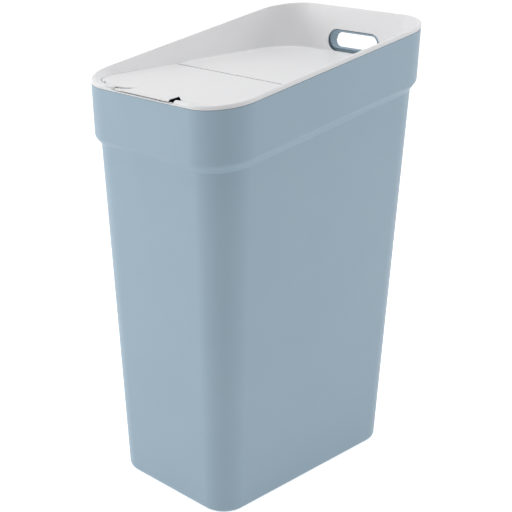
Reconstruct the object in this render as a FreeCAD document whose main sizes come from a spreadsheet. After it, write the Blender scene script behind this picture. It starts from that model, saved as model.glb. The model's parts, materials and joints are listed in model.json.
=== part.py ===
"""Slant-topped kitchen bin: tapered body, lift-off lid frame and front flap.

Millimetres. Z is up, the floor is z = 0, the low front faces -Y and the high back with its
hand hole faces +Y. The origin is under the middle of the whole bin.
"""
import FreeCAD, Part
import math
import os
import Sketcher

DOC = FreeCAD.newDocument("bin")

# Every driving size: alias, value. Names that end in share are ratios.
SIZES = (
    # Body shell, measured at the floor, with its draft per millimetre of height
    ("base_half_width", 95.7),
    ("base_front_depth", 155.9),
    ("base_back_depth", 142.3),
    ("base_corner_radius", 32.0),
    ("corner_growth_share", 0.0268),
    ("side_draft_share", 0.0435),
    ("front_draft_share", 0.0356),
    ("back_draft_share", 0.0591),
    ("body_wall", 2.4),
    ("floor_thickness", 4.0),
    ("base_edge_radius", 8.0),
    ("inner_edge_radius", 6.0),
    ("foot_ring_width", 14.0),
    ("base_recess", 1.6),
    # Shoulder, where the wall steps out into the collar, on a plane that climbs to the back; its
    # height is counted down from the rim at the front
    ("collar_front_height", 71.1),
    ("shoulder_slope_share", 0.1502),
    ("shoulder_step", 6.9),
    ("shoulder_rise", 10.0),
    ("shoulder_round", 7.0),
    ("shoulder_bend_share", 0.31),
    # Rim of the body, measured at its low front
    ("rim_front_height", 494.4),
    ("rim_slope_share", 0.1558),
    ("rim_step", 5.6),
    ("rim_round", 1.4),
    # Hand hole through the back
    ("hand_hole_above_deck", 15.3),
    ("hand_hole_half_length", 33.3),
    ("hand_hole_half_height", 9.0),
    ("hand_hole_flare", 1.1),
    ("hand_hole_flare_length", 8.1),
    ("flange_wall", 2.2),
    ("flange_to_lid", 0.8),
    # Lid frame
    ("deck_above_rim_front", 3.8),
    ("deck_inset", 11.5),
    ("deck_front_radius", 40.0),
    ("deck_back_radius", 50.0),
    ("deck_thickness", 2.0),
    ("deck_fillet", 2.0),
    ("lip_height", 5.0),
    ("lip_width", 4.1),
    ("lip_round", 0.8),
    ("lip_outer_round", 2.2),
    ("tray_wall", 1.5),
    ("lid_clearance", 0.4),
    ("skirt_depth", 9.0),
    ("skirt_wall", 1.4),
    ("lid_hole_drop", 0.7),
    ("lid_hole_margin", 3.8),
    ("lid_hole_end_margin", 1.1),
    ("ledge_width", 5.0),
    ("ledge_thickness", 1.7),
    ("deck_rib_depth", 5.0),
    ("deck_rib_wall", 1.6),
    ("deck_rib_pitch", 42.0),
    ("deck_rib_count", 5),
    ("deck_rib_margin", 9.0),
    # Hinge: a barrel along the flap's back edge, with a pin at each end in a boss of the frame
    ("hinge_from_middle", 31.9),
    ("barrel_radius", 2.8),
    ("hinge_gap", 0.9),
    ("pin_radius", 1.9),
    ("pin_length", 3.4),
    ("pin_clearance", 0.08),
    ("boss_radius", 4.2),
    ("boss_length", 5.6),
    # Front flap with its finger tab
    ("flap_thickness", 2.0),
    ("flap_gap", 0.4),
    ("flap_front_gap", 1.0),
    ("flap_behind_hinge", 1.8),
    ("flap_seat_gap", 0.3),
    ("flap_rib_depth", 4.0),
    ("flap_rib_wall", 1.5),
    ("flap_rib_pitch", 44.0),
    ("flap_rib_count", 5),
    ("flap_rib_margin", 12.0),
    ("tab_half_width", 41.2),
    ("tab_overhang", 1.6),
    ("tab_slope_share", 0.1),
    ("tab_thickness", 1.0),
    ("tab_gap", 4.8),
    ("tab_seat_gap", 1.3),
    ("tab_round", 0.5),
    ("tab_bed_inset", 5.0),
    # Relief notches in the flap's front edge, beside the tab and at the corners
    ("root_notch_mouth", 5.6),
    ("root_notch_depth", 11.0),
    ("root_notch_lean", 8.0),
    ("corner_notch_from_middle", 83.0),
    ("corner_notch_mouth", 8.6),
    ("corner_notch_depth", 8.0),
    ("corner_notch_lean", 5.0),
    # How far a cut runs past what it cuts
    ("overrun", 1.0),
)


class Term:
    """A number together with the spreadsheet expression that gives it."""

    def __init__(self, value, text):
        self.value = value
        self.text = text

    @staticmethod
    def of(other):
        return other if isinstance(other, Term) else Term(other, repr(other))

    def __add__(self, other):
        other = Term.of(other)
        return Term(self.value + other.value, f"({self.text} + {other.text})")

    def __radd__(self, other):
        return self + other

    def __sub__(self, other):
        other = Term.of(other)
        return Term(self.value - other.value, f"({self.text} - {other.text})")

    def __rsub__(self, other):
        return Term.of(other) - self

    def __mul__(self, other):
        other = Term.of(other)
        return Term(self.value * other.value, f"({self.text} * {other.text})")

    def __rmul__(self, other):
        return self * other

    def __truediv__(self, other):
        other = Term.of(other)
        return Term(self.value / other.value, f"({self.text} / {other.text})")

    def __neg__(self):
        return Term(-self.value, f"(-{self.text})")


ZERO = Term(0.0, "0")


def slope_angle(slope):
    return Term(math.degrees(math.atan(slope.value)), f"atan({slope.text})")


def slope_cosine(slope):
    return Term(math.cos(math.atan(slope.value)), f"cos(atan({slope.text}))")


def make_sheet():
    """Writes the sizes into a spreadsheet and returns a Term for each of them."""
    sheet = DOC.addObject("Spreadsheet::Sheet", "Sizes")
    terms = {}
    for row, (alias, value) in enumerate(SIZES, start=1):
        sheet.set(f"A{row}", alias.replace("_", " "))
        sheet.set(f"B{row}", str(value))
        sheet.setAlias(f"B{row}", alias)
        terms[alias] = Term(value, f"Sizes.{alias}")
    DOC.recompute()
    return terms


SIZE = make_sheet()


class Level:
    """A plane on which an outline is drawn: level, or climbing towards the back."""

    def __init__(self, height, slope=None):
        self.height = height
        self.slope = slope

    def raised(self, rise):
        return Level(self.height + rise, self.slope)

    def height_at(self, y):
        return self.height if self.slope is None else self.height + self.slope * y

    def along(self, y):
        """Distance on the plane for a distance y seen from above."""
        return y if self.slope is None else y / slope_cosine(self.slope)


class Outline:
    """A rounded four-sided outline, alike left and right, that may widen towards the back."""

    def __init__(self, level, front, back, front_radius, back_radius, half_width_at):
        self.level = level
        self.front = front
        self.back = back
        self.front_radius = front_radius
        self.back_radius = back_radius
        self.half_width_at = half_width_at

    def touches(self, point, slack=0.01):
        """Whether a point lies on this outline, for an outline that is level."""
        x = abs(point.x)
        half_width = self.half_width_at(ZERO).value
        for end, radius in ((self.front.value, self.front_radius.value),
                            (self.back.value, -self.back_radius.value)):
            centre_x = half_width - abs(radius)
            centre_y = end + radius
            if (point.y - centre_y) * radius > 0:
                continue
            if x <= centre_x:
                return abs(point.y - end) < slack
            return abs(math.hypot(x - centre_x, point.y - centre_y) - abs(radius)) < slack
        return abs(x - half_width) < slack


def shell_outline(level, out):
    """The body's own tapering outline on a plane, moved outwards by out."""
    if level.slope is None:
        front = -(SIZE["base_front_depth"] + SIZE["front_draft_share"] * level.height + out)
        back = SIZE["base_back_depth"] + SIZE["back_draft_share"] * level.height + out
    else:
        front = -(SIZE["base_front_depth"] + SIZE["front_draft_share"] * level.height + out) / (
            1 + SIZE["front_draft_share"] * level.slope)
        back = (SIZE["base_back_depth"] + SIZE["back_draft_share"] * level.height + out) / (
            1 - SIZE["back_draft_share"] * level.slope)
    radius = SIZE["base_corner_radius"] + SIZE["corner_growth_share"] * level.height + out

    def half_width_at(y):
        return SIZE["base_half_width"] + SIZE["side_draft_share"] * level.height_at(y) + out

    return Outline(level, front, back, radius, radius, half_width_at)


RIM_REACH = (SIZE["base_front_depth"] + SIZE["front_draft_share"] * SIZE["rim_front_height"]
             + SIZE["rim_step"])
RIM = Level(SIZE["rim_front_height"] + SIZE["rim_slope_share"] * RIM_REACH, SIZE["rim_slope_share"])
SHOULDER = Level(SIZE["rim_front_height"] - SIZE["collar_front_height"]
                 + SIZE["shoulder_slope_share"] * RIM_REACH, SIZE["shoulder_slope_share"])
LIP_TOP = RIM.raised(SIZE["lip_height"])
DECK = Level(SIZE["rim_front_height"] + SIZE["deck_above_rim_front"])
HAND_HOLE_HEIGHT = DECK.height + SIZE["hand_hole_above_deck"]


def rim_outline(level, inset=ZERO):
    """Outline flush with the collar at its rim, moved inwards by inset."""
    return shell_outline(level, SIZE["rim_step"] - inset)


def deck_outline(level, inset=ZERO):
    """Outline of the lid's deck at the foot of its walls, moved inwards by inset."""
    rim = rim_outline(RIM)
    move = SIZE["deck_inset"] + inset
    half_width = rim.half_width_at(ZERO) - move

    def half_width_at(y):
        return half_width

    return Outline(level, rim.front + move, rim.back - move, SIZE["deck_front_radius"] - inset,
                   SIZE["deck_back_radius"] - inset, half_width_at)


def tray_back_at(height):
    """How far back the tray's inner face is at a height."""
    foot = deck_outline(DECK)
    lip = rim_outline(LIP_TOP, SIZE["lip_width"])
    share = (height - DECK.height) / (LIP_TOP.height_at(lip.back) - DECK.height)
    return foot.back + (lip.back - foot.back) * share


def origin_plane(body, role):
    return next(plane for plane in body.Origin.OriginFeatures if plane.Role == role)


def new_sketch(body, name, role, offset=ZERO, slope=None):
    """An empty sketch on one of the body's own planes, moved along its normal and tilted about X."""
    sketch = body.newObject("Sketcher::SketchObject", name)
    sketch.AttachmentSupport = (origin_plane(body, role), [""])
    sketch.MapMode = "FlatFace"
    angle = 0 if slope is None else slope_angle(slope).value
    turn = FreeCAD.Rotation(FreeCAD.Vector(1, 0, 0), angle)
    sketch.AttachmentOffset = FreeCAD.Placement(FreeCAD.Vector(0, 0, offset.value), turn)
    sketch.setExpression("AttachmentOffset.Base.z", offset.text)
    if slope is not None:
        sketch.setExpression("AttachmentOffset.Rotation.Angle", slope_angle(slope).text)
    return sketch


def bind(sketch, kind, where, term, label):
    """Adds a dimension to a sketch and ties it to its expression."""
    index = sketch.addConstraint(Sketcher.Constraint(kind, *where, term.value))
    sketch.renameConstraint(index, label)
    sketch.setExpression(f"Constraints.{label}", term.text)


def bind_point(sketch, geometry, point, x, y, label):
    bind(sketch, "DistanceX", (geometry, point), x, f"{label}_x")
    bind(sketch, "DistanceY", (geometry, point), y, f"{label}_y")


def outline_sketch(body, name, outline):
    """Draws an outline: four arcs joined by four tangent lines."""
    level = outline.level
    sketch = new_sketch(body, name, "XY_Plane", level.height, level.slope)
    front_centre = outline.front + outline.front_radius
    back_centre = outline.back - outline.back_radius
    front_x = outline.half_width_at(front_centre) - outline.front_radius
    back_x = outline.half_width_at(back_centre) - outline.back_radius
    front_y = level.along(outline.front) + outline.front_radius
    back_y = level.along(outline.back) - outline.back_radius
    corners = (
        (back_x, back_y, outline.back_radius, 0),
        (-back_x, back_y, outline.back_radius, 90),
        (-front_x, front_y, outline.front_radius, 180),
        (front_x, front_y, outline.front_radius, 270),
    )
    arcs = []
    for x, y, radius, start in corners:
        circle = Part.Circle(FreeCAD.Vector(x.value, y.value, 0), FreeCAD.Vector(0, 0, 1), radius.value)
        arcs.append(Part.ArcOfCircle(circle, math.radians(start), math.radians(start + 90)))
    following = arcs[1:] + arcs[:1]
    lines = [Part.LineSegment(arc.EndPoint, after.StartPoint) for arc, after in zip(arcs, following)]
    sketch.addGeometry(arcs + lines, False)
    for index, (x, y, radius, start) in enumerate(corners):
        line = len(arcs) + index
        sketch.addConstraint(Sketcher.Constraint("Tangent", index, 2, line, 1))
        sketch.addConstraint(Sketcher.Constraint("Tangent", line, 2, (index + 1) % len(arcs), 1))
        bind_point(sketch, index, 3, x, y, f"corner{index}")
        bind(sketch, "Radius", (index,), radius, f"radius{index}")
    return sketch


def polygon_sketch(body, name, role, points, offset=ZERO, slope=None):
    """Draws a closed outline of straight lines through points given as pairs of Terms."""
    sketch = new_sketch(body, name, role, offset, slope)
    places = [FreeCAD.Vector(x.value, y.value, 0) for x, y in points]
    following = places[1:] + places[:1]
    sketch.addGeometry([Part.LineSegment(start, end) for start, end in zip(places, following)], False)
    for index, (x, y) in enumerate(points):
        sketch.addConstraint(Sketcher.Constraint("Coincident", index, 2, (index + 1) % len(points), 1))
        bind_point(sketch, index, 1, x, y, f"point{index}")
    return sketch


def stadium_sketch(body, name, y, height, half_length, half_height):
    """Draws a slot with round ends, standing upright across the bin at a depth y."""
    sketch = new_sketch(body, name, "XZ_Plane", -y)
    reach = half_length - half_height
    normal = FreeCAD.Vector(0, 0, 1)
    ends = []
    for x, start in ((reach, -90), (-reach, 90)):
        circle = Part.Circle(FreeCAD.Vector(x.value, height.value, 0), normal, half_height.value)
        ends.append(Part.ArcOfCircle(circle, math.radians(start), math.radians(start + 180)))
    sides = [Part.LineSegment(ends[0].EndPoint, ends[1].StartPoint),
             Part.LineSegment(ends[1].EndPoint, ends[0].StartPoint)]
    sketch.addGeometry(ends + sides, False)
    for index, x in enumerate((reach, -reach)):
        sketch.addConstraint(Sketcher.Constraint("Tangent", index, 2, index + 2, 1))
        sketch.addConstraint(Sketcher.Constraint("Tangent", index + 2, 2, 1 - index, 1))
        bind_point(sketch, index, 3, x, height, f"end{index}")
    bind(sketch, "Radius", (0,), half_height, "round")
    return sketch


def circle_sketch(body, name, x, y, height, radius):
    """Draws a circle across the bin's width, on a plane at x."""
    sketch = new_sketch(body, name, "YZ_Plane", x)
    centre = FreeCAD.Vector(y.value, height.value, 0)
    sketch.addGeometry(Part.Circle(centre, FreeCAD.Vector(0, 0, 1), radius.value), False)
    bind_point(sketch, 0, 3, y, height, "centre")
    bind(sketch, "Radius", (0,), radius, "round")
    return sketch


def loft(body, name, sketches, cut=False):
    """Straight-sided loft through the sketches, added to the body or cut from it.

    The last sketch is the profile, so that the solid's faces point outwards for later fillets.
    """
    feature = body.newObject("PartDesign::SubtractiveLoft" if cut else "PartDesign::AdditiveLoft", name)
    feature.Profile = sketches[-1]
    feature.Sections = sketches[-2::-1]
    feature.Ruled = True
    return feature


def extrude(body, name, sketch, length, cut=False, backwards=False, both_ways=False):
    """Pads a sketch or pockets it by a length."""
    feature = body.newObject("PartDesign::Pocket" if cut else "PartDesign::Pad", name)
    feature.Profile = sketch
    feature.Length = length.value
    feature.setExpression("Length", length.text)
    feature.Reversed = backwards
    feature.Midplane = both_ways
    return feature


def edges_where(shape, test):
    """Names of the edges whose points all pass a test."""
    names = []
    for index, edge in enumerate(shape.Edges, start=1):
        if all(test(point) for point in edge.discretize(5)):
            names.append(f"Edge{index}")
    return names


def round_edges(body, name, test, radius):
    """Fillets the edges of the body's newest feature that pass a test."""
    DOC.recompute()
    base = body.Tip
    names = edges_where(base.Shape, test)
    if not names:
        raise RuntimeError(f"{name}: no edge found")
    feature = body.newObject("PartDesign::Fillet", name)
    feature.Base = (base, names)
    feature.Radius = radius.value
    feature.setExpression("Radius", radius.text)
    return feature


def on_level(level, slack=0.01):
    """A test that a point lies on a level."""
    def test(point):
        height = level.height_at(Term(point.y, "")).value
        return abs(point.z - height) < slack
    return test


def make_bin_body():
    """The tub: floor, tapering walls, shoulder, collar, rim and flanged hand hole."""
    body = DOC.addObject("PartDesign::Body", "bin_body")
    wall = SIZE["body_wall"]
    step = SIZE["shoulder_step"]
    floor = Level(ZERO)
    shoulder_top = SHOULDER.raised(SIZE["shoulder_rise"])
    loft(body, "Outside", [
        outline_sketch(body, "FloorOutline", shell_outline(floor, ZERO)),
        outline_sketch(body, "ShoulderOutline", shell_outline(SHOULDER, ZERO)),
        outline_sketch(body, "CollarOutline", shell_outline(shoulder_top, step)),
        outline_sketch(body, "RimOutline", rim_outline(RIM)),
    ])
    round_edges(body, "BaseRound", on_level(floor), SIZE["base_edge_radius"])
    round_edges(body, "ShoulderRound", on_level(shoulder_top), SIZE["shoulder_round"])
    round_edges(body, "RimRound", on_level(RIM), SIZE["rim_round"])

    bend = wall * SIZE["shoulder_bend_share"]
    inside_floor = Level(SIZE["floor_thickness"])
    loft(body, "Inside", [
        outline_sketch(body, "InsideFloor", shell_outline(inside_floor, -wall)),
        outline_sketch(body, "InsideShoulder", shell_outline(SHOULDER.raised(bend), -wall)),
        outline_sketch(body, "InsideCollar", shell_outline(shoulder_top.raised(bend), step - wall)),
        outline_sketch(body, "InsideRim", rim_outline(RIM.raised(SIZE["overrun"]), wall)),
    ], cut=True)
    round_edges(body, "InsideRound", on_level(inside_floor), SIZE["inner_edge_radius"])

    recess = outline_sketch(body, "RecessOutline", shell_outline(floor, -SIZE["foot_ring_width"]))
    extrude(body, "BaseRecess", recess, SIZE["base_recess"], cut=True, backwards=True)

    height = HAND_HOLE_HEIGHT
    half_length = SIZE["hand_hole_half_length"]
    half_height = SIZE["hand_hole_half_height"]
    mouth_length = half_length + SIZE["hand_hole_flare_length"]
    mouth_height = half_height + SIZE["hand_hole_flare"]
    outer_length = mouth_length + SIZE["flange_wall"]
    outer_height = mouth_height + SIZE["flange_wall"]
    flange_end = tray_back_at(height + outer_height) + SIZE["tray_wall"] + SIZE["flange_to_lid"]
    outside = (SIZE["base_back_depth"] + SIZE["back_draft_share"] * (height + outer_height)
               + SIZE["rim_step"])
    flange = stadium_sketch(body, "FlangeOutline", flange_end, height, outer_length, outer_height)
    extrude(body, "Flange", flange, outside - wall / 2 - flange_end, backwards=True)
    loft(body, "HandHoleFlare", [
        stadium_sketch(body, "FlareMouth", flange_end, height, mouth_length, mouth_height),
        stadium_sketch(body, "FlareThroat", outside, height, half_length, half_height),
    ], cut=True)
    through = stadium_sketch(body, "HandHole", flange_end, height, half_length, half_height)
    extrude(body, "HandHoleCut", through, (outside - flange_end) * 2, cut=True)
    return body


def front_sketch(body, name, outline, back):
    """Draws the front part of a level outline, cut off straight across at y = back."""
    sketch = new_sketch(body, name, "XY_Plane", outline.level.height)
    radius = outline.front_radius
    centre_y = outline.front + radius
    half_width = outline.half_width_at(centre_y)
    normal = FreeCAD.Vector(0, 0, 1)
    arcs = []
    for x, start in ((-half_width + radius, 180), (half_width - radius, 270)):
        circle = Part.Circle(FreeCAD.Vector(x.value, centre_y.value, 0), normal, radius.value)
        arcs.append(Part.ArcOfCircle(circle, math.radians(start), math.radians(start + 90)))
    right_end = FreeCAD.Vector(half_width.value, back.value, 0)
    left_end = FreeCAD.Vector(-half_width.value, back.value, 0)
    lines = [
        Part.LineSegment(arcs[0].EndPoint, arcs[1].StartPoint),
        Part.LineSegment(arcs[1].EndPoint, right_end),
        Part.LineSegment(right_end, left_end),
        Part.LineSegment(left_end, arcs[0].StartPoint),
    ]
    sketch.addGeometry(arcs + lines, False)
    for joint in ((0, 2, 2, 1), (2, 2, 1, 1), (1, 2, 3, 1), (5, 2, 0, 1)):
        sketch.addConstraint(Sketcher.Constraint("Tangent", *joint))
    sketch.addConstraint(Sketcher.Constraint("Coincident", 3, 2, 4, 1))
    sketch.addConstraint(Sketcher.Constraint("Coincident", 4, 2, 5, 1))
    bind_point(sketch, 0, 3, -half_width + radius, centre_y, "left")
    bind_point(sketch, 1, 3, half_width - radius, centre_y, "right")
    bind(sketch, "Radius", (0,), radius, "left_round")
    bind(sketch, "Radius", (1,), radius, "right_round")
    bind(sketch, "DistanceY", (4, 1), back, "right_back")
    bind(sketch, "DistanceY", (4, 2), back, "left_back")
    return sketch


def rectangle(x_low, x_high, y_low, y_high):
    return ((x_low, y_low), (x_high, y_low), (x_high, y_high), (x_low, y_high))


def repeat_across(body, name, feature, pitch, count):
    """Repeats a feature along the bin's width, count times."""
    pattern = body.newObject("PartDesign::LinearPattern", name)
    pattern.Originals = [feature]
    pattern.Direction = (origin_plane(body, "X_Axis"), [""])
    pattern.Occurrences = int(count.value)
    span = pitch * (count - 1)
    pattern.Length = span.value
    pattern.setExpression("Occurrences", count.text)
    pattern.setExpression("Length", span.text)
    body.Tip = pattern
    return pattern


def mirror_across(body, name, features):
    """Repeats features on the other side of the bin's middle plane."""
    mirror = body.newObject("PartDesign::Mirrored", name)
    mirror.Originals = features
    mirror.MirrorPlane = (origin_plane(body, "YZ_Plane"), [""])
    body.Tip = mirror
    return mirror


HINGE_Y = -SIZE["hinge_from_middle"]
HINGE_Z = DECK.height - SIZE["barrel_radius"]
SLOT_REACH = SIZE["barrel_radius"] + SIZE["hinge_gap"]
FLAP_FRONT = deck_outline(DECK).front + SIZE["flap_front_gap"]
TAB_TIP = rim_outline(RIM).front - SIZE["tab_overhang"]
TAB_TOP = Level(DECK.height + SIZE["tab_slope_share"] * FLAP_FRONT, -SIZE["tab_slope_share"])


def make_lid_frame():
    """The white frame: lip and skirt on the rim, sloping tray walls, rear deck, seat for the flap."""
    body = DOC.addObject("PartDesign::Body", "lid_frame")
    overrun = SIZE["overrun"]
    foot = deck_outline(DECK)
    half_width = foot.half_width_at(ZERO)
    seat_depth = SIZE["flap_thickness"] + SIZE["flap_seat_gap"]
    tray_bottom = DECK.height - seat_depth - SIZE["ledge_thickness"]
    skirt_inset = SIZE["body_wall"] + SIZE["lid_clearance"]
    hollow_inset = skirt_inset + SIZE["skirt_wall"]
    skirt_foot = RIM.raised(-SIZE["skirt_depth"])

    loft(body, "Lip", [
        outline_sketch(body, "LipFoot", rim_outline(RIM)),
        outline_sketch(body, "LipTop", rim_outline(LIP_TOP)),
    ])
    loft(body, "Skirt", [
        outline_sketch(body, "SkirtFoot", rim_outline(skirt_foot, skirt_inset)),
        outline_sketch(body, "SkirtTop", rim_outline(RIM, skirt_inset)),
    ])
    loft(body, "Hollow", [
        outline_sketch(body, "HollowFoot", rim_outline(skirt_foot.raised(-overrun), hollow_inset)),
        outline_sketch(body, "HollowTop", rim_outline(LIP_TOP.raised(overrun), hollow_inset)),
    ], cut=True)
    loft(body, "TrayOutside", [
        outline_sketch(body, "TrayFoot", deck_outline(Level(tray_bottom), -SIZE["tray_wall"])),
        outline_sketch(body, "TrayTop", rim_outline(LIP_TOP, SIZE["lip_width"] - SIZE["tray_wall"])),
    ])

    bed_reach = SIZE["tab_half_width"] - SIZE["tab_bed_inset"]
    bed_front = rim_outline(RIM).front + hollow_inset - SIZE["skirt_wall"] / 2
    bed_depth = SIZE["tab_thickness"] + SIZE["tab_seat_gap"] + SIZE["ledge_thickness"]
    bed = rectangle(-bed_reach, bed_reach, bed_front, foot.front + SIZE["ledge_width"])
    bed_sketch = polygon_sketch(body, "TabBedOutline", "XY_Plane", bed, DECK.height)
    extrude(body, "TabBed", bed_sketch, bed_depth, backwards=True)

    for side, name in ((1, "Right"), (-1, "Left")):
        root = circle_sketch(body, f"{name}BossRound", half_width * side, HINGE_Y, HINGE_Z,
                             SIZE["boss_radius"])
        extrude(body, f"{name}Boss", root, SIZE["boss_length"], backwards=side < 0)

    loft(body, "TrayInside", [
        outline_sketch(body, "DeckOutline", foot),
        outline_sketch(body, "LipInside", rim_outline(LIP_TOP, SIZE["lip_width"])),
    ], cut=True)

    seat = front_sketch(body, "SeatOutline", foot, HINGE_Y)
    extrude(body, "FlapSeat", seat, seat_depth, cut=True)
    opening = front_sketch(body, "OpeningOutline", deck_outline(DECK, SIZE["ledge_width"]), HINGE_Y)
    extrude(body, "FlapOpening", opening, seat_depth + SIZE["ledge_thickness"] + overrun, cut=True)
    slot = rectangle(-half_width, half_width, HINGE_Y - SLOT_REACH, HINGE_Y + SLOT_REACH)
    slot_sketch = polygon_sketch(body, "BarrelSlotOutline", "XY_Plane", slot, DECK.height)
    extrude(body, "BarrelSlot", slot_sketch, seat_depth + SIZE["ledge_thickness"] + overrun, cut=True)

    hole_radius = SIZE["pin_radius"] + SIZE["pin_clearance"]
    hole_depth = SIZE["pin_length"] + SIZE["hinge_gap"]
    for side, name in ((1, "Right"), (-1, "Left")):
        mouth = circle_sketch(body, f"{name}PinHoleRound", half_width * side, HINGE_Y, HINGE_Z,
                              hole_radius)
        extrude(body, f"{name}PinHole", mouth, hole_depth, cut=True, backwards=side > 0)

    deck_front = HINGE_Y + SLOT_REACH
    wall = SIZE["deck_rib_wall"]
    under = foot.back - wall - SIZE["deck_back_radius"]
    under_points = rectangle(-half_width + wall, half_width - wall, deck_front + wall, under)
    under_sketch = polygon_sketch(body, "DeckUndersideOutline", "XY_Plane", under_points, tray_bottom)
    hollow_depth = DECK.height - SIZE["deck_thickness"] - tray_bottom
    extrude(body, "DeckUnderside", under_sketch, hollow_depth, cut=True, backwards=True)
    margin = SIZE["deck_rib_margin"]
    first = -SIZE["deck_rib_pitch"] * (SIZE["deck_rib_count"] - 1) / 2
    rib_points = rectangle(first - wall / 2, first + wall / 2, deck_front + margin, under - margin)
    rib_sketch = polygon_sketch(body, "DeckRibOutline", "XY_Plane", rib_points,
                                DECK.height - SIZE["deck_thickness"])
    rib = extrude(body, "DeckRib", rib_sketch, SIZE["deck_rib_depth"], backwards=True)
    repeat_across(body, "DeckRibs", rib, SIZE["deck_rib_pitch"], SIZE["deck_rib_count"])

    def on_deck_foot(point):
        on_deck = abs(point.z - DECK.height.value) < 0.01
        return on_deck and point.y > deck_front.value - 0.01 and foot.touches(point)

    round_edges(body, "DeckRound", on_deck_foot, SIZE["deck_fillet"])

    mouth_length = SIZE["hand_hole_half_length"] + SIZE["hand_hole_flare_length"]
    mouth_height = SIZE["hand_hole_half_height"] + SIZE["hand_hole_flare"]
    hole_height = HAND_HOLE_HEIGHT - SIZE["lid_hole_drop"]
    hole_start = foot.back - SIZE["deck_fillet"] - overrun
    hole = stadium_sketch(body, "LidHoleOutline", hole_start, hole_height,
                          mouth_length + SIZE["lid_hole_end_margin"],
                          mouth_height + SIZE["lid_hole_margin"])
    hole_top = hole_height + mouth_height + SIZE["lid_hole_margin"]
    hole_reach = tray_back_at(hole_top) + SIZE["tray_wall"] - hole_start + overrun
    extrude(body, "LidHole", hole, hole_reach, cut=True)

    on_lip = on_level(LIP_TOP)
    outer_slack = SIZE["lip_width"].value / 2

    def on_lip_outside(point):
        """Whether a point is on the lip's outer edge: its sides, its front or its back."""
        edge = rim_outline(LIP_TOP)
        half_width = edge.half_width_at(Term(point.y, "")).value
        corner = math.hypot(
            max(0, abs(point.x) - half_width + edge.front_radius.value),
            max(0, edge.front.value + edge.front_radius.value - point.y,
                point.y - edge.back.value + edge.back_radius.value))
        return on_lip(point) and corner > edge.front_radius.value - outer_slack

    round_edges(body, "LipOuterRound", on_lip_outside, SIZE["lip_outer_round"])
    round_edges(body, "LipRound", lambda point: on_lip(point) and not on_lip_outside(point),
                SIZE["lip_round"])

    notch_reach = SIZE["tab_half_width"] + SIZE["tab_gap"]
    floor_level = TAB_TOP.raised(-SIZE["tab_thickness"] - SIZE["tab_seat_gap"])
    notch = rectangle(-notch_reach, notch_reach, floor_level.along(TAB_TIP - overrun),
                      floor_level.along(FLAP_FRONT))
    notch_sketch = polygon_sketch(body, "TabNotchOutline", "XY_Plane", notch, floor_level.height,
                                  floor_level.slope)
    extrude(body, "TabNotch", notch_sketch, SIZE["lip_height"] + seat_depth, cut=True, backwards=True)
    slot = rectangle(SIZE["tab_half_width"], notch_reach, rim_outline(RIM).front + hollow_inset,
                     foot.front + SIZE["ledge_width"] + overrun)
    slot_sketch = polygon_sketch(body, "TabSlotOutline", "XY_Plane", slot, DECK.height)
    slot_cut = extrude(body, "TabSlot", slot_sketch, DECK.height - tray_bottom + overrun, cut=True)
    mirror_across(body, "FarTabSlot", [slot_cut])
    return body


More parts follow.
